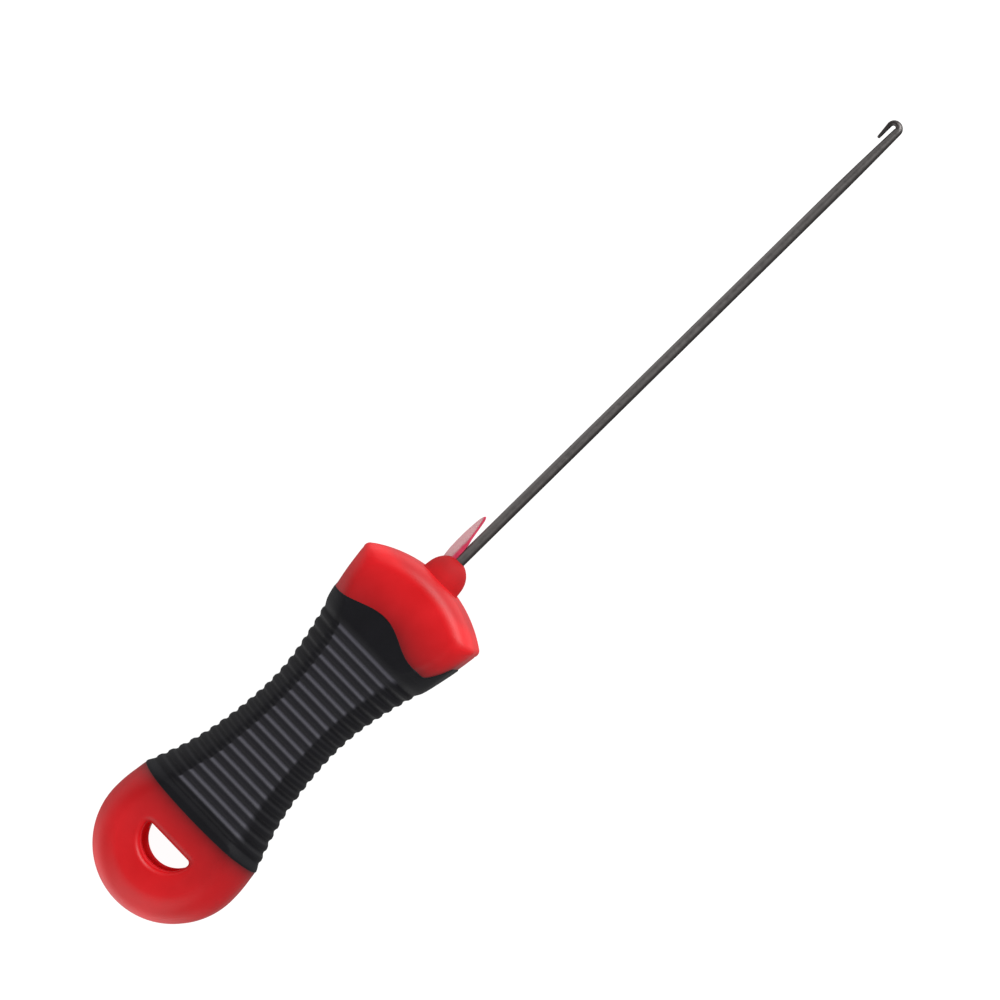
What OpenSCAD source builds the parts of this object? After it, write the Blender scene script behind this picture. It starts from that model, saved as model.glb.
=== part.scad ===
// Hooked insertion needle: a drawn steel wire with an open hook at its tip, insert-moulded
// in a hard red core, with a ribbed soft sleeve moulded over the core's waist.
// Millimetres. +X runs from the tail of the handle to the hook, +Z is up, and the tool lies
// flat on Z = 0 with the origin under the middle of its length.

/* [Overall] */
// Length from the tail of the handle to the tip of the hook
overall_len = 150; // [120:1:180]
// Thickness of the handle at its head and tail
handle_t = 11; // [9:0.5:14]

/* [Tail] */
// Radius of the round tail
tail_r = 11; // [10:0.5:12]
// Radius of the half-round lanyard hole
hole_r = 4.2; // [3:0.1:5]
// How far the hole's flat side lies from the tail's end
hole_x = 11.3; // [10.5:0.1:12]

/* [Grip sleeve] */
// Half the handle's width at the waist, over the ribs
waist_w = 6.7; // [6:0.1:8]
// Half the handle's thickness at the waist, over the ribs
waist_h = 5; // [4.5:0.1:5.3]
// Number of ribs round the sleeve
rib_count = 20; // [10:1:20]
// Distance from one rib to the next
rib_pitch = 1.565; // [1.45:0.005:1.6]
// Height of a rib
rib_h = 0.3; // [0.2:0.05:0.5]
// Place of the first rib, from the tail's end
rib_x = 18.05; // [17.9:0.05:18.4]
// Thickness of the sleeve between the ribs
sleeve_t = 1.5; // [1.2:0.1:1.8]
// How far the sleeve's smooth ends stand above the red core
sleeve_lip = 0.12; // [0.05:0.01:0.3]

/* [Head and nose] */
// Where the head's domed end lies, from the tail's end
head_end = 62.2; // [61:0.1:64]
// Radius of the head's domed end, seen from above
dome_r = 18; // [16:0.5:20]
// Where the nose ends and the needle leaves it, from the tail's end
nose_end = 65.7; // [65:0.1:67]
// Radius of the nose at its root
nose_r = 3; // [2.5:0.1:3.4]

/* [Needle] */
// Wire diameter
wire_d = 1.5; // [1.2:0.1:1.8]
// Where the wire starts inside the core, from the tail's end
tang_x = 32; // [28:1:40]
// Length of the flattened tang that keys the wire in the core
tang_len = 6; // [4:0.5:8]
// Width of the flattened tang
tang_w = 2.4; // [2:0.1:3]
// Thickness of the flattened tang
tang_t = 0.8; // [0.6:0.1:1]
// Length of the taper behind the hook
taper_len = 7; // [5:0.5:10]
// Width of the hook over its bend
hook_w = 2.35; // [2.2:0.05:2.8]
// Length of the hook's arm behind the bend
arm_len = 2.2; // [1.5:0.1:3]
// How far the arm's point closes on the shank
arm_close = 0.12; // [0:0.02:0.2]

/* [Nose tongue] */
// Length of the thin tongue in front of the nose
tongue_len = 6.7; // [3:0.1:8]
// Thickness of the tongue's blade
tongue_t = 0.3; // [0.2:0.05:0.5]

/* [Hidden] */
half_t = handle_t / 2;
wire_r = wire_d / 2;
core_red = [0.80, 0.09, 0.11];
sleeve_black = [0.12, 0.12, 0.13];
wire_steel = [0.52, 0.50, 0.49];
tongue_red = [0.86, 0.35, 0.42, 0.75];
K = 5;                                   // steps in a rounded edge
EPS = 0.01;

// The handle's half-width over the ribs, from the sleeve's tail end to the head's corner.
width_pts = [[11, tail_r], [13, 10.93], [15, 10.72], [16.2, 10.55], [17.2, 10.3], [18.5, 9.85],
    [21, 8.95], [24, 8.1], [27, 7.5], [30, 7.07], [33, 6.8], [36, waist_w], [39, 6.85],
    [42, 7.3], [45, 7.95], [48, 8.7], [49.5, 9.1], [51, 9.4], [54, 9.9], [56, 10.2],
    [57.6, 10.42]];

function lerp(a, b, t) = a + (b - a) * t;
function clamp01(t) = max(0, min(1, t));
function smooth(t) = let(u = clamp01(t)) u * u * (3 - 2 * u);
// Slope at each point of a list of [x, y], from its neighbours.
function slope(p, i) = let(a = max(0, i - 1), b = min(len(p) - 1, i + 1))
    (p[b][1] - p[a][1]) / (p[b][0] - p[a][0]);
function span(p, x, i = 0) = (i >= len(p) - 2 || x < p[i + 1][0]) ? i : span(p, x, i + 1);
// A smooth curve through the points.
function curve(p, x) = let(i = span(p, x), h = p[i + 1][0] - p[i][0], t = clamp01((x - p[i][0]) / h),
    m0 = (i == 0 && p[0][0] == 11) ? 0 : slope(p, i) * h, m1 = slope(p, i + 1) * h, t2 = t * t, t3 = t2 * t)
    (2 * t3 - 3 * t2 + 1) * p[i][1] + (t3 - 2 * t2 + t) * m0 + (3 * t2 - 2 * t3) * p[i + 1][1] + (t3 - t2) * m1;
function width(x) = curve(width_pts, x);

// How far the section at x has changed from tail to grip, and from grip to head.
function to_grip(x) = smooth((x - 12) / 7);
function to_head(x) = smooth((x - 46) / 9);
// Under the ribs the smooth skin lies a rib's height lower, and it comes up again at the ends.
function sunk(x) = rib_h * smooth((x - 16.8) / 0.7) * (1 - smooth((x - 48.3) / 0.9));
function half_h(x) = lerp(half_t, waist_h, smooth((x - 12) / 20)) + (half_t - waist_h) * smooth((x - 38) / 18);
function skin_w(x) = width(x) - sunk(x);
function skin_h(x) = half_h(x) - sunk(x);

// One quarter of a section: [inset from the edge, height] at step k of K.
function tail_edge(k) = let(a = 90 * k / K) [4 * (1 - cos(a)), half_t - 4.2 + 4.2 * sin(a)];
function head_edge(k) = let(a = 90 * k / K) [2.8 * (1 - cos(a)), half_t - 3.2 + 3.2 * sin(a)];
function grip_edge(x, k) = let(a = 53.13 * k / K) [skin_w(x) * (1 - cos(a)), skin_h(x) * 1.25 * sin(a)];
function edge(x, k) = let(s = abs(k),
    g = lerp(tail_edge(s), grip_edge(x, s), to_grip(x)), e = lerp(g, head_edge(s), to_head(x)))
    [e[0], sign(k) * e[1]];

// The head's side line, domed end and the corner between them, all set in by d.
side_a = 8.8;                             // the side line's slope
dome_c = head_end - dome_r;
corner_k = (cos(side_a) * 10.42 - sin(side_a) * 57.6) + sin(side_a) * dome_c;
function corner_r(d) = 0.9 + 0.4 * d;
function corner_end(d) = side_a + asin((corner_k - d - corner_r(d)) / (dome_r - d - corner_r(d)));
function corner_mid(d) = let(r = dome_r - d - corner_r(d), t = corner_end(d)) [dome_c + r * cos(t), r * sin(t)];
function corner_at(d, a) = [corner_mid(d)[0] + corner_r(d) * cos(a), corner_mid(d)[1] + corner_r(d) * sin(a)];
function head_side(d, u) = let(e = corner_at(d, 90 + side_a), x = lerp(50.4, e[0], u))
    [x, u < 0.99 ? lerp(skin_w(x) - d, min(skin_w(x), e[1] + d + 0.3) - d, u) : e[1]];

// The outline from the tail's end round one side to the head's end: [kind, place, section x].
outline = concat(
    [for (a = [0:7.5:82.5]) [0, a, 11]],
    [for (x = [11, 12.5, 14, 15, 16, 17, 18, 19.5, 21, 23, 25, 27.5, 30, 33, 36, 39, 41.5, 44, 46, 48, 49.2,
        50.4]) [1, x, x]],
    [for (u = [0.15, 0.3, 0.45, 0.6, 0.75, 0.9, 1]) [2, u, 50.4 + 7.4 * u]],
    [for (u = [0.33, 0.67]) [3, u, 58]],
    [for (u = [1, 0.88, 0.76, 0.64, 0.5, 0.36, 0.24, 0.12, 0]) [4, u, 60]]);
N = len(outline) - 1;

// A point of the outline, set in by d.
function outline_at(o, d) =
    o[0] == 0 ? [tail_r - (tail_r - d) * cos(o[1]), (tail_r - d) * sin(o[1])]
    : o[0] == 1 ? [o[1], skin_w(o[1]) - d]
    : o[0] == 2 ? head_side(d, o[1])
    : o[0] == 3 ? corner_at(d, lerp(90 + side_a, corner_end(d), o[1]))
    : [dome_c + (dome_r - d) * cos(corner_end(d) * o[1]), (dome_r - d) * sin(corner_end(d) * o[1])];
function skin_point(i, k, side) = let(o = outline[i], e = edge(o[2], k), p = outline_at(o, e[0]))
    [p[0], side * p[1], e[1]];

// The whole handle's skin as one closed solid: a grid round each side, and strips across top and bottom.
module skin() {
    row = 2 * K + 1;
    pts = concat([for (i = [0:N], k = [-K:K]) skin_point(i, k, 1)],
        [for (i = [1:N - 1], k = [-K:K]) skin_point(i, k, -1)]);
    function up(i, k) = i * row + k + K;
    function down(i, k) = (i == 0 || i == N) ? up(i, k) : (N + 1) * row + (i - 1) * row + k + K;
    faces = concat(
        [for (i = [0:N - 1], k = [-K:K - 1]) each [[up(i, k), up(i + 1, k), up(i + 1, k + 1)],
            [up(i, k), up(i + 1, k + 1), up(i, k + 1)]]],
        [for (i = [0:N - 1], k = [-K:K - 1]) each [[down(i, k), down(i + 1, k + 1), down(i + 1, k)],
            [down(i, k), down(i, k + 1), down(i + 1, k + 1)]]],
        [for (i = [0:N - 1]) each concat(
            i == N - 1 ? [] : [[up(i, K), up(i + 1, K), down(i + 1, K)]],
            i == 0 ? [] : [[up(i, K), i == N - 1 ? up(N, K) : down(i + 1, K), down(i, K)]])],
        [for (i = [0:N - 1]) each concat(
            i == N - 1 ? [] : [[up(i, -K), down(i + 1, -K), up(i + 1, -K)]],
            i == 0 ? [] : [[up(i, -K), down(i, -K), i == N - 1 ? up(N, -K) : down(i + 1, -K)]])]);
    polyhedron(points = pts, faces = faces, convexity = 6);
}

// Nothing stands above the flat faces of the head and tail.
function flat(z) = max(-half_t, min(half_t, z));

// A solid lofted through sections at the places in xs. grow is added to the skin's edge and height.
module loft(xs, grow) {
    n = len(xs) - 1;
    ring = 4 * K + 2;
    function section(x, g) = concat(
        [for (k = [-K:K]) let(e = edge(x, k), b = 90 * k / K)
            [x, skin_w(x) - e[0] + g * cos(b), flat(e[1] + g * sin(b))]],
        [for (k = [K:-1:-K]) let(e = edge(x, k), b = 90 * k / K)
            [x, -(skin_w(x) - e[0] + g * cos(b)), flat(e[1] + g * sin(b))]]);
    pts = [for (i = [0:n]) each section(xs[i], grow[i])];
    polyhedron(points = pts, convexity = 6, faces = concat(
        [[for (j = [0:ring - 1]) j]],
        [for (i = [0:n - 1], j = [0:ring - 1]) let(a = i * ring + j, b = i * ring + (j + 1) % ring)
            each [[a, b + ring, b], [a, a + ring, b + ring]]],
        [[for (j = [0:ring - 1]) n * ring + ring - 1 - j]]));
}

// Where the sleeve ends, seen from above: a shallow bow at the tail, a wave with a middle tongue at the head.
function tail_edge_x(y) = 15.45 + 0.6 * pow(abs(y) / 10.6, 2);
function head_edge_x(y) = let(v = y - 0.9) 52.7 + 1.1 * cos(180 * min(abs(v) / (v > 0 ? 8.2 : 7), 1.1));

module sleeve_zone() {
    ys = [for (y = [-13:0.5:13]) y];
    translate([0, 0, -10]) linear_extrude(height = 20)
        polygon(concat([for (y = ys) [tail_edge_x(y), y]],
            [for (i = [len(ys) - 1:-1:0]) [head_edge_x(ys[i]), ys[i]]]));
    // The tongue that runs on along each narrow side of the head.
    for (s = [-1, 1]) translate([0, s > 0 ? 8.2 : -13, 0]) rotate([-90, 0, 0])
        linear_extrude(height = 4.8)
            polygon(concat([[49, -5.3]], [for (z = [-5.3:0.53:5.3])
                [51.2 + (s > 0 ? 1.4 : 4) * (1 - smooth((abs(z) - (s > 0 ? 0 : 2.7)) / 2.4)), z]], [[49, 5.3]]));
}

rib_stations = concat([14, 16, 16.9], [for (n = [0:rib_count - 1], f = [-0.5, -0.3, 0.3, 0.5])
    rib_x + n * rib_pitch + f * rib_pitch * (abs(f) > 0.4 ? 0.8 : 0.72)],
    [for (x = [49.3, 50.4, 52, 54, 57]) x]);
function rib_grow(i) = i < 3 || i > 2 + 4 * rib_count ? sleeve_lip
    : ((i - 3) % 4 == 1 || (i - 3) % 4 == 2) ? rib_h : 0;

// The inner core under the sleeve, with round pockets that key the soft sleeve.
module inner_core() {
    difference() {
        loft([13, 15, 17, 19, 21, 24, 27, 30, 33, 36, 39, 42, 45, 48, 50, 52, 54, 56, 57.5],
            [for (i = [0:18]) -sleeve_t]);
        for (x = [23, 28, 44, 49], s = [-1, 1])
            translate([x, 0, s > 0 ? waist_h - sleeve_t - 0.7 : -waist_h + sleeve_t - 2.3])
                cylinder(r = 1.6, h = 3, $fn = 48);
    }
}

module lanyard_hole() {
    translate([hole_x, 0, -10]) intersection() {
        cylinder(r = hole_r, h = 20, $fn = 96);
        translate([-10, -10, -1]) cube([10, 20, 22]);
    }
}

// The nose: a blunt dome turned about the needle's axis.
module nose() {
    l = nose_end - head_end;
    rotate([0, 90, 0]) rotate_extrude($fn = 96)
        polygon([[0, head_end - 4], [nose_r, head_end - 4], [nose_r * 1.02, head_end],
            [nose_r, head_end + 0.15 * l], [nose_r * 0.96, head_end + 0.32 * l],
            [nose_r * 0.9, head_end + 0.48 * l], [nose_r * 0.8, head_end + 0.64 * l],
            [nose_r * 0.65, head_end + 0.79 * l], [nose_r * 0.5, head_end + 0.89 * l],
            [nose_r * 0.38, head_end + 0.96 * l], [nose_r * 0.3, nose_end], [0, nose_end]]);
}

// The wire's centre line from the start of its taper round the hook: [x, y, angle, radius].
bend_x = overall_len - hook_w / 2;
hook_y = hook_w / 2 - 0.6;
function bend_t(a) = lerp(0.575, 0.35, smooth(a / 180));
tip_y = hook_y + hook_w / 2 - 0.35 - arm_close;
hook_path = concat(
    [for (t = [0:0.25:0.75]) [lerp(bend_x - taper_len, bend_x, t), -0.025 * smooth(t), 0,
        lerp(wire_r - EPS, 0.575, pow(t, 1.3))]],
    [for (a = [0:18:180]) let(q = hook_w / 2 - bend_t(a)) [bend_x + q * sin(a), hook_y - q * cos(a), a, bend_t(a)]],
    [for (t = [0.25:0.25:1]) [bend_x - arm_len * t, lerp(tip_y + arm_close, tip_y, t), 180, lerp(0.35, 0.22, t)]],
    [for (a = [30, 60, 85]) [bend_x - arm_len - 0.22 * sin(a), tip_y, 180, 0.22 * cos(a)]]);

module hook() {
    m = 16;
    n = len(hook_path) - 1;
    pts = [for (p = hook_path, j = [0:m - 1]) let(b = 360 * j / m)
        [p[0] - p[3] * cos(b) * sin(p[2]), p[1] + p[3] * cos(b) * cos(p[2]), p[3] * sin(b)]];
    polyhedron(points = pts, convexity = 4, faces = concat(
        [[for (j = [0:m - 1]) j]],
        [for (i = [0:n - 1], j = [0:m - 1]) let(a = i * m + j, b = i * m + (j + 1) % m)
            each [[a, b + m, b], [a, a + m, b + m]]],
        [[for (j = [0:m - 1]) n * m + m - 1 - j]]));
}

module wire() {
    translate([tang_x + tang_len - 0.5, 0, 0]) rotate([0, 90, 0])
        cylinder(r = wire_r, h = bend_x - taper_len + 0.2 - tang_x - tang_len + 0.5, $fn = 64);
    hook();
    // The buried end, pressed flat and notched so that it can't turn or pull out.
    difference() {
        translate([tang_x, -tang_w / 2, -tang_t / 2]) cube([tang_len, tang_w, tang_t]);
        for (s = [-1, 1]) translate([tang_x + tang_len * 0.45, s * (tang_w / 2 + 0.1), -2])
            cylinder(r = 0.6, h = 4, $fn = 32);
    }
}

// The thin tongue beside the needle: a blade with a thicker inner edge, rooted in the nose.
module tongue_shape() {
    x0 = nose_end - 2.2;
    x1 = nose_end + tongue_len;
    translate([0, 0, -tongue_t / 2]) linear_extrude(height = tongue_t)
        polygon([[x0, 1.25], [x0, 2], [lerp(x0, x1, 0.2), 2.32], [lerp(x0, x1, 0.4), 2.5],
            [lerp(x0, x1, 0.65), 2.48], [lerp(x0, x1, 0.85), 2.3], [x1 - 0.2, 2.1], [x1, 1.92],
            [x1 - 0.1, 1.85], [lerp(x0, x1, 0.5), 1.25]]);
    dir = atan2(0.62, x1 - 0.15 - x0);
    translate([x0, 1.22, 0]) rotate([0, 90, dir])
        cylinder(r1 = 0.42, r2 = 0.2, h = (x1 - 0.15 - x0) / cos(dir), $fn = 32);
}

// Puts the tool on Z = 0, with the origin under the middle of its length.
module placed() {
    translate([-overall_len / 2, 0, half_t]) children();
}

module handle_core() {
    color(core_red) placed() difference() {
        union() {
            difference() {
                skin();
                sleeve_zone();
            }
            inner_core();
            nose();
        }
        lanyard_hole();
        wire();
        tongue_shape();
    }
}

module grip_sleeve() {
    color(sleeve_black) placed() difference() {
        intersection() {
            loft(rib_stations, [for (i = [0:len(rib_stations) - 1]) rib_grow(i)]);
            sleeve_zone();
        }
        inner_core();
    }
}

module needle() {
    color(wire_steel) placed() wire();
}

module nose_tongue() {
    color(tongue_red) placed() tongue_shape();
}

handle_core();
grip_sleeve();
needle();
nose_tongue();
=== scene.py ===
import math
import random

import bmesh
import bpy
import numpy as np
from mathutils import Euler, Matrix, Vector
from mathutils.geometry import tessellate_polygon


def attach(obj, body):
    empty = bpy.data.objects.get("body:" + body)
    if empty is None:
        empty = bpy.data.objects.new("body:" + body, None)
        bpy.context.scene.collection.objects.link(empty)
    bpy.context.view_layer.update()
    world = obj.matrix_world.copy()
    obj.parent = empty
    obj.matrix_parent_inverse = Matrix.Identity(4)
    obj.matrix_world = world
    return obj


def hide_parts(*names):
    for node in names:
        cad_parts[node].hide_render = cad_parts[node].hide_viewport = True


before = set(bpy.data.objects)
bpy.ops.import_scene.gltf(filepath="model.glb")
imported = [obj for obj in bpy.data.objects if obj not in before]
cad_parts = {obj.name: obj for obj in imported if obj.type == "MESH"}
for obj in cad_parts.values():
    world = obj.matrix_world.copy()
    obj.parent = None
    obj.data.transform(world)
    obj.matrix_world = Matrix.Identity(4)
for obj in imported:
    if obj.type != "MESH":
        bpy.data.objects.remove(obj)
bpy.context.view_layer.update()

random.seed(7)
rng = np.random.default_rng(7)

# Shapes below are in millimetres, X from the handle's tail, Z from the middle of its thickness.
# row() puts them in the frame: metres, origin under the middle of the tool's length.
LEN, HALF_T = 150.0, 5.5


def row(p):
    p = np.asarray(p, dtype=float)
    return (p + np.array([-LEN / 2, 0.0, HALF_T])) / 1000.0


# ---------------------------------------------------------------- the handle's skin
TAIL_R, HEAD_END, DOME_R = 11.0, 62.2, 18.0
RIB_H = 0.235
RIB_X, RIB_PITCH, RIBS = 18.05, 1.565, 20
WIDTH = np.array([[11, TAIL_R], [13, 10.93], [15, 10.75], [16.2, 10.58], [17.2, 10.3], [18.5, 9.85],
                  [21, 8.95], [24, 8.1], [27, 7.5], [30, 7.07], [33, 6.8], [36, 6.7], [39, 6.85],
                  [42, 7.3], [45, 7.95], [48, 8.7], [49.5, 9.1], [51, 9.4], [54, 9.9], [56, 10.2],
                  [57.6, 10.42]])


def hermite(pts, x):
    xs, ys = pts[:, 0], pts[:, 1]
    m = np.empty(len(xs))
    m[1:-1] = (ys[2:] - ys[:-2]) / (xs[2:] - xs[:-2])
    m[0], m[-1] = 0, (ys[-1] - ys[-2]) / (xs[-1] - xs[-2])
    i = np.clip(np.searchsorted(xs, x, side="right") - 1, 0, len(xs) - 2)
    h = xs[i + 1] - xs[i]
    t = np.clip((x - xs[i]) / h, 0, 1)
    return ((2 * t**3 - 3 * t**2 + 1) * ys[i] + (t**3 - 2 * t**2 + t) * h * m[i]
            + (3 * t**2 - 2 * t**3) * ys[i + 1] + (t**3 - t**2) * h * m[i + 1])


def smooth(t):
    u = np.clip(t, 0, 1)
    return u * u * (3 - 2 * u)


def sunk(x):
    return RIB_H * smooth((x - 16.1) / 1.7) * (1 - smooth((x - 48.0) / 1.5))


def skin_w(x):
    return hermite(WIDTH, x) - sunk(x)


def skin_h(x):
    h = HALF_T + (5.0 - HALF_T) * smooth((x - 12) / 20) + (HALF_T - 5.0) * smooth((x - 38) / 18)
    return h - sunk(x)


NK, NF, NS = 28, 10, 6                # steps round an edge, across half a flat face, up half a side


def edge(x):
    """Inset and height of a quarter section at x, from the middle of the side to the flat face."""
    up = np.minimum(np.arange(NK + 1) / NS, 1)
    a = math.pi / 2 * np.maximum(np.arange(NK + 1) - NS, 0) / (NK - NS)
    tail = np.stack([4.0 * (1 - np.cos(a)), (HALF_T - 4.2) * up + 4.2 * np.sin(a)], 1)
    head = np.stack([2.8 * (1 - np.cos(a)), (HALF_T - 3.2) * up + 3.2 * np.sin(a)], 1)
    g = np.radians(np.linspace(0, 53.13, NK + 1))
    w, h = float(skin_w(np.array(x))), float(skin_h(np.array(x)))
    grip = np.stack([w * (1 - np.cos(g)), h * 1.25 * np.sin(g)], 1)
    tg, th = float(smooth(np.array((x - 12) / 7))), float(smooth(np.array((x - 46) / 9)))
    e = (tail * (1 - tg) + grip * tg) * (1 - th) + head * th
    return e


SIDE_A = math.radians(8.8)
DOME_C = HEAD_END - DOME_R
CORNER_K = math.cos(SIDE_A) * 10.42 - math.sin(SIDE_A) * 57.6 + math.sin(SIDE_A) * DOME_C


def corner(d):
    r = 0.9 + 0.4 * d
    t = SIDE_A + math.asin((CORNER_K - d - r) / (DOME_R - d - r))
    return r, t, DOME_C + (DOME_R - d - r) * math.cos(t), (DOME_R - d - r) * math.sin(t)


def outline_at(kind, u, d):
    """A point of the handle's outline seen from above, set in by d."""
    if kind == 0:
        return TAIL_R - (TAIL_R - d) * math.cos(u), (TAIL_R - d) * math.sin(u)
    if kind == 1:
        return u, float(skin_w(np.array(u))) - d
    r, t, cx, cy = corner(d)
    if kind == 2:
        ex, ey = cx - r * math.sin(SIDE_A), cy + r * math.cos(SIDE_A)
        x = 50.4 + (ex - 50.4) * u
        w = float(skin_w(np.array(x)))
        return x, (w - d) * (1 - u) + min(w - d, ey + 0.3) * u if u < 0.99 else ey
    if kind == 3:
        a = (math.pi / 2 + SIDE_A) * (1 - u) + t * u
        return cx + r * math.cos(a), cy + r * math.sin(a)
    return DOME_C + (DOME_R - d) * math.cos(t * u), (DOME_R - d) * math.sin(t * u)


stations = [(0, a, 11.0) for a in np.linspace(0, math.pi / 2, 46)[:-1]]
stations += [(1, x, x) for x in np.arange(11, 16.95, 0.2)]
stations += [(1, x, x) for x in np.arange(17, 49.61, 0.1)]
stations += [(1, x, x) for x in np.arange(49.7, 50.41, 0.175)]
stations += [(2, u, 50.4 + 7.4 * u) for u in np.linspace(0, 1, 31)[1:]]
stations += [(3, u, 58.0) for u in (0.2, 0.4, 0.6, 0.8)]
stations += [(4, u, 60.0) for u in np.linspace(1, 0, 41)]

quarter = NK + NF                    # ring points from the side's middle to the face's middle
T = 4 * quarter
table = np.zeros((len(stations), T, 3))
for i, (kind, u, sx) in enumerate(stations):
    e = edge(sx)
    pts = np.array([(*outline_at(kind, u, d), z) for d, z in e])
    f = np.linspace(0, 1, NF + 1)[1:, None] ** 1.15
    mid = pts[-1] * [1, 0, 1]
    q = np.vstack([pts, pts[-1] * (1 - f) + mid * f])        # quarter + 1 points
    ring = [q[j] for j in range(quarter)]
    ring += [q[quarter - j] * [1, -1, 1] for j in range(quarter)]
    ring += [q[j] * [1, -1, -1] for j in range(quarter)]
    ring += [q[quarter - j] * [1, 1, -1] for j in range(quarter)]
    table[i] = ring
# The crease beside the grip's flat face is softened, as the mould's is.
sx = np.array([s[2] for s in stations])
soft = (smooth((sx - 15.5) / 2.5) * (1 - smooth((sx - 50) / 4)))[:, None, None]
soft[np.array([s[0] for s in stations]) != 1] *= 0
for _ in range(4):
    avg = 0.25 * np.roll(table, 1, 1) + 0.5 * table + 0.25 * np.roll(table, -1, 1)
    avg[:, :, 0] = table[:, :, 0]
    table = table * (1 - soft) + avg * soft

side_rows = np.array([i for i, s in enumerate(stations) if s[0] in (1, 2)])


def ring_normals(tab):
    """Outward direction in each section's own plane."""
    d = np.roll(tab, -1, 1) - np.roll(tab, 1, 1)
    n = np.stack([np.zeros(d.shape[:2]), d[:, :, 2], -d[:, :, 1]], 2)
    return n / np.maximum(np.linalg.norm(n, axis=2, keepdims=True), 1e-9)


normals = ring_normals(table)


# ---------------------------------------------------------------- where the sleeve ends
def tail_line(y, z):
    return 15.45 + 0.6 * (np.abs(y) / 10.6) ** 2


def head_line(y, z):
    v = y - 0.9
    face = 52.7 + 1.1 * np.cos(math.pi * np.minimum(np.abs(v) / np.where(v > 0, 8.2, 7.0), 1.1))
    face = np.where(np.abs(z) > 1.0, face, 51.2)
    side = 51.2 + np.where(y > 0, 1.4, 4.0) * (1 - smooth((np.abs(z) - np.where(y > 0, 0.0, 2.7)) / 2.4))
    k = smooth((np.abs(y) - 7.9) / 0.9)
    top = np.maximum(face, side)
    return face * (1 - k) + top * k


# ---------------------------------------------------------------- mesh helpers
def new_object(name, verts, faces, smooth_angle=None, attrs=None):
    mesh = bpy.data.meshes.new(name)
    mesh.from_pydata([tuple(v) for v in row(verts)], [], faces)
    mesh.validate()
    bm = bmesh.new()
    bm.from_mesh(mesh)
    bmesh.ops.recalc_face_normals(bm, faces=bm.faces)
    bm.to_mesh(mesh)
    bm.free()
    for p in mesh.polygons:
        p.use_smooth = True
    if smooth_angle is not None:
        mesh.set_sharp_from_angle(angle=math.radians(smooth_angle))
    for key, values in (attrs or {}).items():
        a = mesh.attributes.new(key, "FLOAT", "POINT")
        a.data.foreach_set("value", np.asarray(values, dtype=np.float32))
    obj = bpy.data.objects.new(name, mesh)
    bpy.context.scene.collection.objects.link(obj)
    return obj


def weld(obj, dist=1e-6):
    bm = bmesh.new()
    bm.from_mesh(obj.data)
    bmesh.ops.remove_doubles(bm, verts=bm.verts, dist=dist)
    bmesh.ops.dissolve_degenerate(bm, dist=1e-7, edges=bm.edges)
    bmesh.ops.recalc_face_normals(bm, faces=bm.faces)
    bm.to_mesh(obj.data)
    bm.free()


def revolve(profile, steps=72):
    """Rings about the needle's axis from (x, r) pairs, closed at both ends."""
    verts, faces = [], []
    for x, r in profile:
        for k in range(steps):
            a = 2 * math.pi * k / steps
            verts.append((x, r * math.cos(a), r * math.sin(a)))
    for i in range(len(profile) - 1):
        for k in range(steps):
            a, b = i * steps + k, i * steps + (k + 1) % steps
            faces.append((a, b, b + steps, a + steps))
    faces.append(tuple(range(steps))[::-1])
    faces.append(tuple((len(profile) - 1) * steps + k for k in range(steps)))
    return verts, faces


# ---------------------------------------------------------------- handle core
HOLE_X, HOLE_R, HOLE_C, LIP = 11.3, 4.1, 0.55, 0.85


def hole_loop(off):
    """The half-round slot's outline with rounded corners, set out by off."""
    pts = []
    r = HOLE_C
    # corner circles sit inside the half disc, against the flat side
    cy = math.sqrt((HOLE_R - r) ** 2 - r**2)
    cx = HOLE_X - r
    a0 = math.atan2(cy, -r)
    for t in np.linspace(0, 1, 33):
        y = cy * (1 - 2 * t)
        pts.append((HOLE_X + off, y))
    for a in np.linspace(0, -a0, 13)[1:]:
        pts.append((cx + (r + off) * math.cos(a), -cy + (r + off) * math.sin(a)))
    for a in np.linspace(-a0, -2 * math.pi + a0, 61)[1:]:
        pts.append((HOLE_X + (HOLE_R + off) * math.cos(a), (HOLE_R + off) * math.sin(a)))
    for a in np.linspace(a0, 0, 13)[1:-1]:
        pts.append((cx + (r + off) * math.cos(a), cy + (r + off) * math.sin(a)))
    return pts


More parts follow.
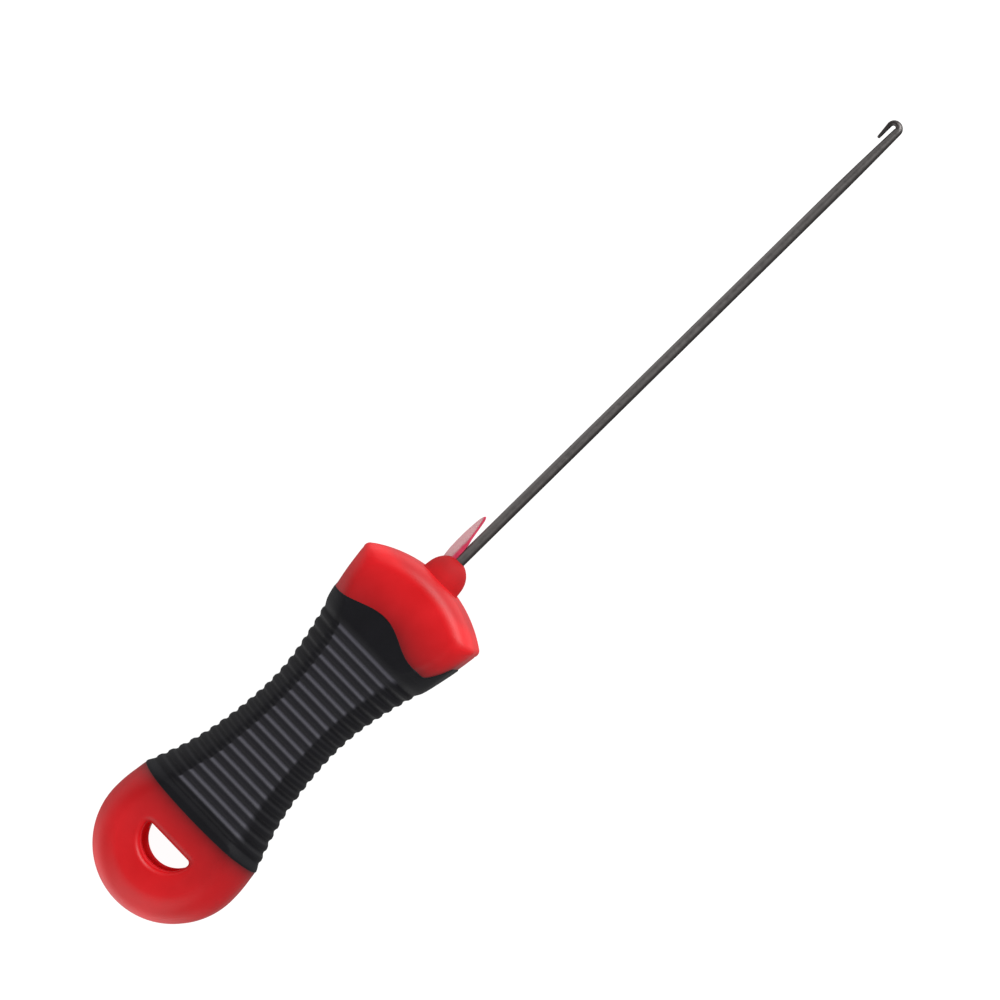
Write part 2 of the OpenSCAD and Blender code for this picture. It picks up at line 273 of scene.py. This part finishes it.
core = table.copy()
dip = 1.4 * smooth((sx - 17.6) / 1.2) * (1 - smooth((sx - 47.4) / 1.0))
core -= normals * dip[:, None, None] * (np.array([s[0] for s in stations]) == 1)[:, None, None]
verts = [tuple(p) for r_ in core for p in r_]
faces = []
open_to = max(i for i, s in enumerate(stations) if s[0] == 0 or (s[0] == 1 and s[1] <= 12.45))
for i in range(len(stations) - 1):
    for j in range(T):
        jj = j % (2 * quarter)
        on_face = NK <= jj < 2 * quarter - NK
        if on_face and i < open_to:
            continue
        a, b = i * T + j, i * T + (j + 1) % T
        faces.append((a, b, b + T, a + T))
for top in (1, -1):
    side = NK if top == 1 else T - NK
    other = 2 * quarter - NK if top == 1 else 2 * quarter + NK
    outer = [i * T + side for i in range(open_to, -1, -1)]
    outer += [i * T + other for i in range(1, open_to + 1)]
    between = range(other - 1, side, -1) if top == 1 else range(other + 1, side)
    outer += [open_to * T + j for j in between]
    rings = []
    for ph in np.linspace(90, 0, 9):
        off = LIP * (1 - math.cos(math.radians(ph)))
        z = HALF_T - LIP + LIP * math.sin(math.radians(ph))
        base = len(verts)
        loop = hole_loop(off)
        lean = 0.0 if top == 1 else 0.55
        verts += [(x, y + 0.05 + lean, top * z) for x, y in loop]
        rings.append(list(range(base, base + len(loop))))
    n = len(rings[0])
    for r0, r1 in zip(rings, rings[1:]):
        for k in range(n):
            faces.append((r0[k], r0[(k + 1) % n], r1[(k + 1) % n], r1[k]))
    loops = [[Vector(verts[v]) for v in outer], [Vector(verts[v]) for v in rings[0]]]
    index = outer + rings[0]
    faces += [tuple(index[v] for v in tri) for tri in tessellate_polygon(loops)]
    if top == 1:
        wall = rings[-1]
    else:
        walls = [wall]
        top_v, end_v = [np.array(verts[v]) for v in wall], [np.array(verts[v]) for v in rings[-1]]
        for t in (0.1, 0.2, 0.3, 0.4, 0.6, 0.8):
            base = len(verts)
            verts += [tuple(a * (1 - t) + b * t) for a, b in zip(top_v, end_v)]
            walls.append(list(range(base, base + n)))
        walls.append(rings[-1])
        for w0, w1 in zip(walls, walls[1:]):
            for k in range(n):
                faces.append((w0[k], w0[(k + 1) % n], w1[(k + 1) % n], w1[k]))

# The blunt nose, a turned dome with a slightly flared root.
nose = [(59.5, 2.6)]
for x in list(np.linspace(61.5, 65.0, 26)) + list(65.0 + 0.74 * np.sin(np.linspace(0.08, 1, 20) * math.pi / 2)):
    r = 3.05 * max(0.0, 1 - (max(0.0, x - 61.7) / 4.12) ** 2.6) ** 0.55
    r += 0.16 * math.exp(-max(0.0, x - 61.85) / 0.22)
    if r > 0.80:
        nose.append((x, r))
nose.append((nose[-1][0] + 0.03, 0.72))
nv, nf = revolve(nose)
base = len(verts)
verts += nv
faces += [tuple(base + v for v in f) for f in nf]
core_v = np.array(verts)
# Painted shade: the red is darkened a little all over, and more near the sleeve's edges, along the tail towards the
# grip, on its -Y side, at its outer rim, on the head's half next to the grip and over the head's end face.
cx, cy, cz = core_v.T
to_tail = np.clip(tail_line(cy, cz) - cx, 0, 20)
to_head = np.clip(cx - head_line(cy, cz), 0, 20)
painted_shade_tail = 0.105 + 0.56 * np.exp(-to_tail / 1.4) + 0.24 * smooth((cx - 4) / 10)
painted_shade_tail += 0.06 * smooth((-3 - cy) / 5) + 0.14 * (1 - smooth((cx - 0.3) / 1.8))
painted_shade_head = 0.05 + 0.34 * (1 - smooth((cx - 53) / 6.5)) + 0.28 * smooth((cx - 59.6) / 1.2)
painted_shade_head += (0.20 + 0.30 * smooth((2.0 - cy) / 6.0)) * np.exp(-to_head / 1.6)
painted_shade = np.where(cx < 30, painted_shade_tail, painted_shade_head)
# Painted shade on the nose's dome, deeper towards its tip.
painted_shade = np.where((cx > 61.4) & (np.hypot(cy, cz) < 3.4), 0.32 * smooth((cx - 62.7) / 1.9), painted_shade)
# Painted shade near the top and bottom of the slot's wall, where the lamps reach into it.
in_slot = (np.hypot(core_v[:, 0] - HOLE_X, core_v[:, 1]) < HOLE_R + 0.5) & (np.abs(core_v[:, 2]) < HALF_T - LIP + 0.01)
painted_shade = np.where(in_slot, 0.35 * smooth((np.abs(core_v[:, 2]) - 2.0) / 1.8), painted_shade)
core_obj = new_object("core_moulding", core_v, faces, attrs={"painted_shade": painted_shade})
weld(core_obj)
core_obj.data.set_sharp_from_angle(angle=math.radians(38))

# ---------------------------------------------------------------- grip sleeve
tab, nrm = table[side_rows], normals[side_rows]
# A common axis coordinate for the rows: the x of the side's middle point on each ring column.


def sample(col, x):
    """Skin point and normal of ring column col at distance x along the handle."""
    xs = tab[:, col, 0]
    p = np.stack([np.interp(x, xs, tab[:, col, k]) for k in range(3)], 1)
    n = np.stack([np.interp(x, xs, nrm[:, col, k]) for k in range(3)], 1)
    return p, n


def solve(col, line):
    x = np.array([15.5 if line is tail_line else 52.0])
    for _ in range(12):
        p, _n = sample(col, x)
        x = 0.5 * x + 0.5 * line(p[:, 1], p[:, 2])
    return float(x[0])


x_tail = np.array([solve(j, tail_line) for j in range(T)])
x_head = np.array([solve(j, head_line) for j in range(T)])
for _ in range(2):
    x_head = 0.25 * np.roll(x_head, 1) + 0.5 * x_head + 0.25 * np.roll(x_head, -1)

LIP_R = 0.30
lip = LIP_R * (1 - np.cos(np.linspace(0, math.pi / 2, 7)))
mid_x = np.arange(17.2, 49.31, RIB_PITCH / 16)
cols = []
for j in range(T):
    a = np.concatenate([x_tail[j] + lip, np.linspace(x_tail[j] + 0.42, 17.1, 9)])
    b = np.concatenate([np.linspace(49.4, x_head[j] - 0.42, 26), x_head[j] - lip[::-1]])
    cols.append(np.concatenate([a, mid_x, b]))
cols = np.array(cols)


def rib(x):
    """Height of the ribs, round-topped bands with narrower valleys, and the weight of the painted highlight lines on
    their +X slopes.
    """
    ph = (x - RIB_X) / RIB_PITCH
    k = np.round(ph)
    ok = (k >= 0) & (k <= RIBS - 1)
    u = np.abs(ph - k)
    h = (1 - smooth((u - 0.10) / 0.36)) * ok
    kc = np.round(ph - 0.39)
    v = np.abs(ph - 0.39 - kc)
    painted_highlight = (1 - smooth((v - 0.02) / 0.25)) * ((kc >= 0) & (kc <= RIBS - 1))
    # Between the painted highlight lines the ribbed panel gets a faint painted sheen, a little paler than the sleeve's
    # smooth ends.
    floor = 0.11 * smooth((x - 18.0) / 0.8) * (1 - smooth((x - 48.6) / 0.8))
    return h, floor + (1 - floor) * painted_highlight


verts, faces, painted_crest_highlight, facing = [], [], [], []
for j in range(T):
    x = cols[j]
    p, n = sample(j, x)
    h, c = rib(x)
    d = np.minimum(x - x_tail[j], x_head[j] - x)
    lipoff = 0.13 - 0.34 * (1 - np.sqrt(np.clip(1 - (1 - np.clip(d / LIP_R, 0, 1)) ** 2, 0, 1)))
    off = lipoff + RIB_H * h
    off -= 0.13 * smooth((x - 15.7) / 2.0) * (1 - smooth((x - 48.3) / 2.0))
    q = p + n * off[:, None]
    q[:, 2] = np.clip(q[:, 2], -HALF_T, HALF_T)
    verts += [tuple(v) for v in q]
    painted_crest_highlight += list(c)
    facing += list(np.abs(n[:, 2]))
m = cols.shape[1]
# The painted highlight lines stop short of the panel's edge on the side away from the leaf's foot.
place = np.array(verts).reshape(T, m, 3)
shows = np.array(facing).reshape(T, m)
reach = np.where((shows > 0.87) & (place[:, :, 2] > 0), place[:, :, 1], -1).max(0)
short = np.clip((reach - 0.72 - place[:, :, 1]) / 0.7 + 0.5, 0, 1)
facing = list((shows * np.where(place[:, :, 2] > 0, 0.6 + 0.4 * short, 1.0)).ravel())
for j in range(T):
    for i in range(m - 1):
        a, b = j * m + i, ((j + 1) % T) * m + i
        faces.append((a, a + 1, b + 1, b))
# The sleeve's inside, which lies on the core's waist and closes the tube at both ends.
inner_n = 48
base = len(verts)
for j in range(T):
    x = np.linspace(x_tail[j], x_head[j], inner_n + 2)[1:-1]
    p, n = sample(j, x)
    deep = smooth((x - 17.6) / 1.2) * (1 - smooth((x - 47.4) / 1.0))
    verts += [tuple(v) for v in p - n * (0.25 + 1.1 * deep)[:, None]]
    painted_crest_highlight += [0.0] * inner_n
    facing += [0.0] * inner_n
for j in range(T):
    jn = (j + 1) % T
    inner_a = [j * m] + [base + j * inner_n + i for i in range(inner_n)] + [j * m + m - 1]
    inner_b = [jn * m] + [base + jn * inner_n + i for i in range(inner_n)] + [jn * m + m - 1]
    for i in range(inner_n + 1):
        faces.append((inner_a[i], inner_b[i], inner_b[i + 1], inner_a[i + 1]))
sleeve_obj = new_object("ribbed_sleeve", np.array(verts), faces,
                        attrs={"painted_crest_highlight": painted_crest_highlight, "panel": facing})

# ---------------------------------------------------------------- needle
WIRE_R, HOOK_W = 0.75, 2.35
bend_x, hook_y = LEN - HOOK_W / 2, HOOK_W / 2 - 0.6
path = [(64.0, 0, 0, WIRE_R)]
path += [(x, 0, 0, WIRE_R) for x in np.linspace(65, bend_x - 11, 24)]
for t in np.linspace(0, 1, 24)[1:-1]:
    path.append((bend_x - 11 + 11 * t, -0.025 * float(smooth(np.array(t))), 0,
                 WIRE_R + (0.575 - WIRE_R) * t**1.5))
for a in np.linspace(0, math.pi, 33):
    r = 0.575 + (0.35 - 0.575) * float(smooth(np.array(a / math.pi)))
    q = HOOK_W / 2 - r
    path.append((bend_x + q * math.sin(a), hook_y - q * math.cos(a), a, r))
tip_y = hook_y + HOOK_W / 2 - 0.35 - 0.12
for t in np.linspace(0, 1, 12)[1:]:
    path.append((bend_x - 2.2 * t, tip_y + 0.12 * (1 - t), math.pi, 0.35 + (0.22 - 0.35) * t))
for a in np.linspace(0, math.pi / 2, 8)[1:]:
    path.append((bend_x - 2.2 - 0.22 * math.sin(a), tip_y, math.pi, 0.22 * math.cos(a) + 0.002))
M = 40
# Painted shade: the wire is darkened along its -Y side, along its +Y side towards the hook, and more and more round the
# bend into the arm, in place of dark reflections.
verts, faces, painted_edge_shade = [], [], []
for x, y, a, r in path:
    near_hook = float(smooth(np.array((x - 132) / 8)))
    for k in range(M):
        b = 2 * math.pi * k / M
        up, down = (float(smooth(np.array((v * math.cos(b) - 0.25) / 0.6))) for v in (1, -1))
        painted_edge_shade.append(max(down * 0.62, up * 0.45 * near_hook) if a < 0.5 else 0.35 + 0.35 * float(smooth(np.array(a - 1))))
        verts.append((x - r * math.cos(b) * math.sin(a), y + r * math.cos(b) * math.cos(a), r * math.sin(b)))
for i in range(len(path) - 1):
    for k in range(M):
        a, b = i * M + k, i * M + (k + 1) % M
        faces.append((a, b, b + M, a + M))
faces.append(tuple(range(M))[::-1])
faces.append(tuple((len(path) - 1) * M + k for k in range(M)))
needle_obj = new_object("hooked_wire", np.array(verts), faces, smooth_angle=50, attrs={"painted_edge_shade": painted_edge_shade})

# ---------------------------------------------------------------- nose tongue
verts, faces, thick = [], [], []
NU, NV = 56, 22
x0, x1 = 64.2, 72.55
for i in range(NU + 1):
    t = i / NU
    x = x0 + (x1 - x0) * t
    end = math.sqrt(max(0.0, 1 - ((x - 71.75) / 0.801) ** 2)) if x > 71.75 else 1.0
    top = float(np.interp(x, [64, 65, 66, 67.5, 69, 70.5, 71.5, 72.6], [2.05, 2.22, 2.35, 2.42, 2.43, 2.36, 2.28, 2.12]))
    low = float(np.interp(x, [64, 65.6, 67, 68.2, 69, 70, 71.5, 72.6], [0.54, 0.58, 0.62, 0.74, 0.98, 1.2, 1.48, 1.66]))
    bead_w = float(np.interp(x, [64, 67.5, 69, 70.5, 72.6], [0.72, 0.68, 0.38, 0.28, 0.34]))
    mid, half = (top + low) / 2, (top - low) / 2 * end
    for k in range(2 * NV):
        s = 1 if k < NV else -1
        v = (k if k < NV else 2 * NV - 1 - k) / (NV - 1)            # 0 at the lower edge, 1 at the upper
        dy = 2 * half * v
        bead = 1 - float(smooth(np.array((dy / bead_w - 0.75) / 0.5)))
        lift = 0.44 * (1 - float(smooth(np.array((x - 68.3) / 2.4))))
        bow = 0.30 * (v - 0.3) ** 2 * end + lift * (1 - v) ** 1.6
        w = (0.09 + 0.17 * bead * (1 - 0.5 * t)) * math.sqrt(max(0.03, 1 - (2 * v - 1) ** 8)) * (0.35 + 0.65 * end)
        verts.append((x, mid - half + dy, bow + s * w))
        thick.append(max(bead, float(smooth(np.array((x - 71.9) / 0.5)))))
for i in range(NU):
    for k in range(2 * NV):
        a, b = i * 2 * NV + k, i * 2 * NV + (k + 1) % (2 * NV)
        faces.append((a, b, b + 2 * NV, a + 2 * NV))
faces.append(tuple(range(2 * NV))[::-1])
faces.append(tuple(NU * 2 * NV + k for k in range(2 * NV)))
tongue_obj = new_object("nose_leaf", np.array(verts), faces, smooth_angle=60, attrs={"bead": thick})

# ---------------------------------------------------------------- materials


def material(name):
    mat = bpy.data.materials.new(name)
    mat.use_nodes = True
    nt = mat.node_tree
    nt.nodes.clear()
    out = nt.nodes.new("ShaderNodeOutputMaterial")
    bsdf = nt.nodes.new("ShaderNodeBsdfPrincipled")
    nt.links.new(bsdf.outputs[0], out.inputs[0])
    coord = nt.nodes.new("ShaderNodeTexCoord")
    return mat, nt, bsdf, coord


def noise(nt, coord, scale, detail=4.0, rough=0.6, stretch=None):
    n = nt.nodes.new("ShaderNodeTexNoise")
    n.inputs["Scale"].default_value = scale
    n.inputs["Detail"].default_value = detail
    n.inputs["Roughness"].default_value = rough
    if stretch:
        mp = nt.nodes.new("ShaderNodeMapping")
        mp.inputs["Scale"].default_value = stretch
        nt.links.new(coord.outputs["Object"], mp.inputs["Vector"])
        nt.links.new(mp.outputs[0], n.inputs["Vector"])
    else:
        nt.links.new(coord.outputs["Object"], n.inputs["Vector"])
    return n


def ramp(nt, src, lo, hi, a=0.3, b=0.7):
    r = nt.nodes.new("ShaderNodeMapRange")
    r.inputs["From Min"].default_value = a
    r.inputs["From Max"].default_value = b
    r.inputs["To Min"].default_value = lo
    r.inputs["To Max"].default_value = hi
    nt.links.new(src, r.inputs["Value"])
    return r.outputs[0]


def mix_color(nt, fac, c0, c1):
    m_ = nt.nodes.new("ShaderNodeMix")
    m_.data_type = "RGBA"
    if isinstance(fac, (int, float)):
        m_.inputs["Factor"].default_value = fac
    else:
        nt.links.new(fac, m_.inputs["Factor"])
    for key, c in (("A", c0), ("B", c1)):
        sock = [s for s in m_.inputs if s.name == key and s.type == "RGBA"][0]
        if isinstance(c, tuple):
            sock.default_value = (*c, 1)
        else:
            nt.links.new(c, sock)
    return [s for s in m_.outputs if s.type == "RGBA"][0]


def bump(nt, bsdf, src, dist, strength=1.0):
    b = nt.nodes.new("ShaderNodeBump")
    b.inputs["Strength"].default_value = strength
    b.inputs["Distance"].default_value = dist
    nt.links.new(src, b.inputs["Height"])
    nt.links.new(b.outputs[0], bsdf.inputs["Normal"])


# moulded red plastic
red, nt, bsdf, co = material("moulded_red")
cloud = noise(nt, co, 140, 3)
grain = noise(nt, co, 4200, 3)
col = mix_color(nt, ramp(nt, cloud.outputs["Fac"], 0, 1), (0.66, 0.0042, 0.0075), (0.76, 0.0064, 0.0110))
# painted shade from the core's attribute darkens the base colour
at = nt.nodes.new("ShaderNodeAttribute")
at.attribute_name = "painted_shade"
col = mix_color(nt, at.outputs["Fac"], col, (0.10, 0.002, 0.004))
nt.links.new(col, bsdf.inputs["Base Color"])
nt.links.new(ramp(nt, cloud.outputs["Fac"], 0.40, 0.48), bsdf.inputs["Roughness"])
bsdf.inputs["Specular IOR Level"].default_value = 0.5
bsdf.inputs["IOR"].default_value = 1.4
bsdf.inputs["Subsurface Weight"].default_value = 0.08
bsdf.inputs["Subsurface Radius"].default_value = (0.0012, 0.0003, 0.0003)
bsdf.inputs["Subsurface Scale"].default_value = 1.0
bump(nt, bsdf, grain.outputs["Fac"], 0.00002, 0.7)

# the same plastic with the duller skin of the nose and of the slot's wall; the wall's copy is painted a paler red to
# stand in for light reaching into the slot
dull, nt, bsdf, co = material("moulded_red_dull")
cloud = noise(nt, co, 300, 3)
col = mix_color(nt, ramp(nt, cloud.outputs["Fac"], 0, 1), (0.51, 0.0075, 0.010), (0.58, 0.0095, 0.013))
nt.links.new(col, bsdf.inputs["Base Color"])
nt.links.new(ramp(nt, cloud.outputs["Fac"], 0.62, 0.74), bsdf.inputs["Roughness"])
bsdf.inputs["Specular IOR Level"].default_value = 0.2
# painted shade on the nose's dome
at = nt.nodes.new("ShaderNodeAttribute")
at.attribute_name = "painted_shade"
col = mix_color(nt, at.outputs["Fac"], col, (0.10, 0.002, 0.003))
nt.links.new(col, bsdf.inputs["Base Color"])
bump(nt, bsdf, cloud.outputs["Fac"], 0.00002, 0.5)
wall_red, nt, bsdf, co = material("moulded_red_wall")
cloud = noise(nt, co, 300, 3)
col = mix_color(nt, ramp(nt, cloud.outputs["Fac"], 0, 1), (0.94, 0.040, 0.052), (0.98, 0.046, 0.058))
# painted shade near the top and bottom of the slot's wall
at = nt.nodes.new("ShaderNodeAttribute")
at.attribute_name = "painted_shade"
col = mix_color(nt, at.outputs["Fac"], col, (0.24, 0.008, 0.012))
nt.links.new(col, bsdf.inputs["Base Color"])
nt.links.new(ramp(nt, cloud.outputs["Fac"], 0.85, 0.95), bsdf.inputs["Roughness"])
bsdf.inputs["Specular IOR Level"].default_value = 0.0
bump(nt, bsdf, cloud.outputs["Fac"], 0.00002, 0.5)

# soft black rubber, with painted highlight lines along the ribs where the panel faces up
black, nt, bsdf, co = material("soft_black")
fine = noise(nt, co, 7000, 3)
cloud = noise(nt, co, 260, 3)
at = nt.nodes.new("ShaderNodeAttribute")
at.attribute_name = "painted_crest_highlight"
pa = nt.nodes.new("ShaderNodeAttribute")
pa.attribute_name = "panel"
face = ramp(nt, pa.outputs["Fac"], 0, 1, 0.80, 0.93)
mul = nt.nodes.new("ShaderNodeMath")
mul.operation = "MULTIPLY"
nt.links.new(at.outputs["Fac"], mul.inputs[0])
nt.links.new(face, mul.inputs[1])
base_c = mix_color(nt, ramp(nt, cloud.outputs["Fac"], 0, 1), (0.0028, 0.0026, 0.0042), (0.0048, 0.0046, 0.0066))
# painted highlight colour, used only where the panel faces up
col = mix_color(nt, mul.outputs[0], base_c, (0.064, 0.062, 0.077))
nt.links.new(col, bsdf.inputs["Base Color"])
nt.links.new(ramp(nt, fine.outputs["Fac"], 0.50, 0.62), bsdf.inputs["Roughness"])
bsdf.inputs["Specular IOR Level"].default_value = 0.18
bump(nt, bsdf, fine.outputs["Fac"], 0.00002, 0.7)

# drawn steel wire
steel, nt, bsdf, co = material("drawn_steel")
draw = noise(nt, co, 900, 3, 0.6, (0.02, 3.0, 3.0))
spots = noise(nt, co, 1500, 3)
col = mix_color(nt, ramp(nt, draw.outputs["Fac"], 0, 1), (0.175, 0.163, 0.16), (0.25, 0.237, 0.232))
# painted shade along the wire's sides and over the hook
at = nt.nodes.new("ShaderNodeAttribute")
at.attribute_name = "painted_edge_shade"
col = mix_color(nt, at.outputs["Fac"], col, (0.020, 0.017, 0.017))
nt.links.new(col, bsdf.inputs["Base Color"])
bsdf.inputs["Metallic"].default_value = 1.0
bsdf.inputs["Specular Tint"].default_value = (0.35, 0.32, 0.31, 1)
nt.links.new(ramp(nt, spots.outputs["Fac"], 0.42, 0.56), bsdf.inputs["Roughness"])
bump(nt, bsdf, draw.outputs["Fac"], 0.00001, 0.5)

# thin translucent red leaf
leaf, nt, bsdf, co = material("clear_red_leaf")
cloud = noise(nt, co, 900, 3)
at = nt.nodes.new("ShaderNodeAttribute")
at.attribute_name = "bead"
col = mix_color(nt, at.outputs["Fac"], (0.66, 0.34, 0.36), (0.62, 0.045, 0.105))
nt.links.new(col, bsdf.inputs["Base Color"])
nt.links.new(ramp(nt, cloud.outputs["Fac"], 0.22, 0.34), bsdf.inputs["Roughness"])
nt.links.new(ramp(nt, at.outputs["Fac"], 0.72, 1.0, 0, 1), bsdf.inputs["Alpha"])
bump(nt, bsdf, cloud.outputs["Fac"], 0.00002, 0.5)

for obj, mat, node, slot in ((core_obj, red, "handle_core", "core_red"),
                             (sleeve_obj, black, "grip_sleeve", "grip_black"),
                             (needle_obj, steel, "needle", "wire_steel"),
                             (tongue_obj, leaf, "nose_tongue", "tongue_red")):
    obj.data.materials.append(mat)
    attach(obj, "root")
    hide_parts(node)

core_obj.data.materials.append(dull)
core_obj.data.materials.append(wall_red)
for p in core_obj.data.polygons:
    c = p.center * 1000 + Vector((LEN / 2, 0, -HALF_T))
    if c.x > 61.6 and math.hypot(c.y, c.z) < 3.3:
        p.material_index = 1
    elif abs(c.z) < HALF_T - LIP and math.hypot(c.x - HOLE_X, c.y) < HOLE_R + 0.5:
        p.material_index = 2

# ---------------------------------------------------------------- floor, light, camera
mesh = bpy.data.meshes.new("floor")
s = 3.0
mesh.from_pydata([(-s, -s, -0.0002), (s, -s, -0.0002), (s, s, -0.0002), (-s, s, -0.0002)], [], [(0, 1, 2, 3)])
floor = bpy.data.objects.new("floor", mesh)
bpy.context.scene.collection.objects.link(floor)
fm, nt, bsdf, co = material("pale_floor")
bsdf.inputs["Base Color"].default_value = (0.15, 0.15, 0.15, 1)
bsdf.inputs["Roughness"].default_value = 0.9
bsdf.inputs["Specular IOR Level"].default_value = 0.1
bsdf.inputs["Emission Color"].default_value = (1, 1, 1, 1)
bsdf.inputs["Emission Strength"].default_value = 0.97
floor.data.materials.append(fm)
# The floor doesn't light the tool: the studio round it does.
floor.visible_diffuse = floor.visible_glossy = floor.visible_shadow = False

world = bpy.data.worlds.new("studio")
bpy.context.scene.world = world
world.use_nodes = True
nt = world.node_tree
nt.nodes.clear()
wo = nt.nodes.new("ShaderNodeOutputWorld")
bg = nt.nodes.new("ShaderNodeBackground")
tc = nt.nodes.new("ShaderNodeTexCoord")
sep = nt.nodes.new("ShaderNodeSeparateXYZ")
cr = nt.nodes.new("ShaderNodeValToRGB")
cr.color_ramp.interpolation = "EASE"
stops = [(0.0, 0.30), (0.44, 0.32), (0.56, 0.38), (0.78, 0.34), (0.92, 0.09)]
el = cr.color_ramp.elements
while len(el) < len(stops):
    el.new(0.5)
for e_, (pos, v) in zip(el, stops):
    e_.position, e_.color = pos, (v, v, v, 1)
half = nt.nodes.new("ShaderNodeMapRange")
half.inputs["From Min"].default_value = -1
half.inputs["From Max"].default_value = 1
nt.links.new(tc.outputs["Generated"], sep.inputs[0])
nt.links.new(sep.outputs["Z"], half.inputs["Value"])
nt.links.new(half.outputs[0], cr.inputs[0])


def node_math(op, a, b):
    m_ = nt.nodes.new("ShaderNodeMath")
    m_.operation = op
    for sock, v in zip(m_.inputs, (a, b)):
        if isinstance(v, (int, float)):
            sock.default_value = v
        else:
            nt.links.new(v, sock)
    return m_.outputs[0]


# Bright low panels beyond the two ends of the tool.
ends = ramp(nt, node_math("MULTIPLY", sep.outputs["X"], sep.outputs["X"]), 0, 1, 0.12, 0.55)
low = ramp(nt, sep.outputs["Z"], 1, 0, -0.15, 0.15)
panel = node_math("MULTIPLY", node_math("MULTIPLY", ends, low), 1.35)
bg_l = nt.nodes.new("ShaderNodeSeparateColor")
nt.links.new(cr.outputs[0], bg_l.inputs[0])
# and a dimmer, taller one along the side that the hook opens on.
side = ramp(nt, sep.outputs["Y"], 0, 1, 0.25, 0.85)
tall = ramp(nt, node_math("ABSOLUTE", sep.outputs["Z"], 0), 1, 0, 0.25, 0.65)
panel = node_math("ADD", panel, node_math("MULTIPLY", node_math("MULTIPLY", side, tall), 0.5))
nt.links.new(node_math("ADD", bg_l.outputs[0], panel), bg.inputs["Color"])
nt.links.new(bg.outputs[0], wo.inputs[0])


def area(name, loc, target, size, power):
    light = bpy.data.lights.new(name, "AREA")
    light.shape = "RECTANGLE"
    light.size, light.size_y = size
    light.energy = power
    obj = bpy.data.objects.new(name, light)
    obj.location = loc
    obj.rotation_euler = (Vector(target) - Vector(loc)).to_track_quat("-Z", "Y").to_euler()
    bpy.context.scene.collection.objects.link(obj)
    return obj


area("key", (0.68, -0.14, 0.44), (-0.02, 0, 0), (0.66, 0.42), 7.8)
area("fill", (-0.66, -0.10, 0.50), (-0.06, 0, 0), (0.8, 0.9), 4.0)

cam = bpy.data.cameras.new("camera")
cam.sensor_width = 36
cam.lens = 402.054
cam.clip_start, cam.clip_end = 0.05, 20
camera = bpy.data.objects.new("camera", cam)
camera.location = (0.12001, -0.16494, 1.5055)
camera.rotation_euler = Euler([math.radians(v) for v in (1.38352, 7.67698, -44.18341)], "XYZ")
bpy.context.scene.collection.objects.link(camera)
bpy.context.scene.camera = camera
bpy.context.scene.view_settings.view_transform = "Standard"
bpy.context.scene.view_settings.look = "None"
